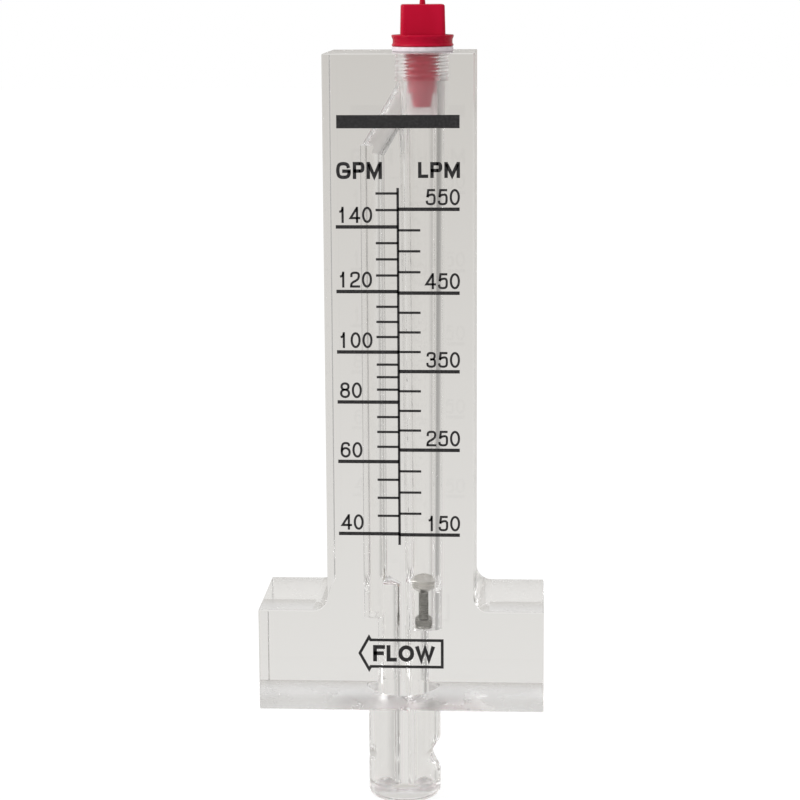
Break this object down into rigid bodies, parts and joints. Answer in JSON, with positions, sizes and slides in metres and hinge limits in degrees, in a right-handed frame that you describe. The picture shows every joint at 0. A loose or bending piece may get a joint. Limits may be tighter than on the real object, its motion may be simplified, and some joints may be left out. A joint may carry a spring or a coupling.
{
  "type": "flow meter",
  "caption": "Saddle-mounted flow meter in a clear block, with a steel float in a tapered bore, a ported probe and a threaded plug.",
  "frame": {"origin": "on the probe's axis, level with the two lips of the saddle that rest on the pipe", "axes": "+Z from the pipe towards the plug, X along the pipe with the flow towards -X, the scale faces -Y"},
  "size_m": [0.0564, 0.0254, 0.1607],
  "materials": {
    "clear_acrylic": "polished, clear",
    "red_plastic": "moulded, satin gloss",
    "white_gasket": "translucent, soft",
    "stainless_steel": "turned"
  },
  "bodies": {
    "block": {"meter_body": "clear_acrylic", "pitot_probe": "clear_acrylic"},
    "float": {"metering_float": "stainless_steel"},
    "gasket": {"plug_gasket": "white_gasket"},
    "plug": {"top_plug": "red_plastic"}
  },
  "joints": [
    {"name": "float_rise", "type": "slide", "parent": "block", "child": "float", "axis": [0, 0, 1], "range_m": [0, 0.0934]},
    {"name": "plug_lift", "type": "slide", "parent": "block", "child": "gasket", "axis": [0, 0, 1], "range_m": [0, 0.0045]},
    {"name": "plug_turn", "type": "hinge", "parent": "gasket", "child": "plug", "pos_m": [0.00415, 0, 0.1301], "axis": [0, 0, 1], "range_deg": [0, 1276]}
  ],
  "couplings": [
    {"joint": "plug_turn", "follows": "plug_lift", "rad_per_m": 4947.4}
  ]
}
